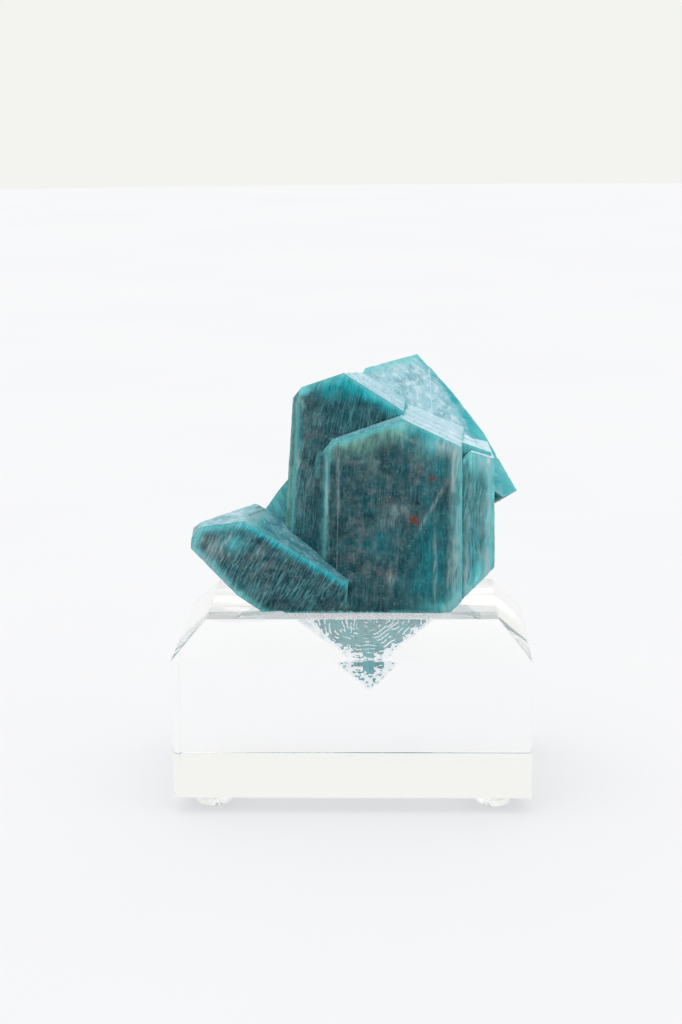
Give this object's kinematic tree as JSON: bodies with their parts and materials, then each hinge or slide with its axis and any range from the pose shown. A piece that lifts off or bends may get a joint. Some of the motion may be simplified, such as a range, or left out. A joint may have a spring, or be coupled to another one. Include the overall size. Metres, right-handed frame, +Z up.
{
  "type": "rough amazonite specimen on a clear display block",
  "caption": "Cluster of blocky blue-green feldspar crystals grown together, seated by its tapered root in a pocket of a clear bevelled block on soft domed feet.",
  "frame": {"origin": "centre of the block's footprint, on the surface that the feet stand on", "axes": "+Z up, the block's long front face looks along -Y, +X to the right seen from the front"},
  "size_m": [0.0762, 0.0508, 0.0947],
  "materials": {
    "amazonite": "satin natural crystal faces, streaked with white perthite along the crystals, pale mint at the edges",
    "clear_acrylic": "clear and polished, with a ground pocket for the stone's root",
    "soft_clear": "clear soft polyurethane, glossy"
  },
  "bodies": {
    "root": {"amazonite_cluster": "amazonite", "acrylic_base": "clear_acrylic", "foot_front_left": "soft_clear", "foot_front_right": "soft_clear", "foot_back_left": "soft_clear", "foot_back_right": "soft_clear"}
  },
  "joints": []
}
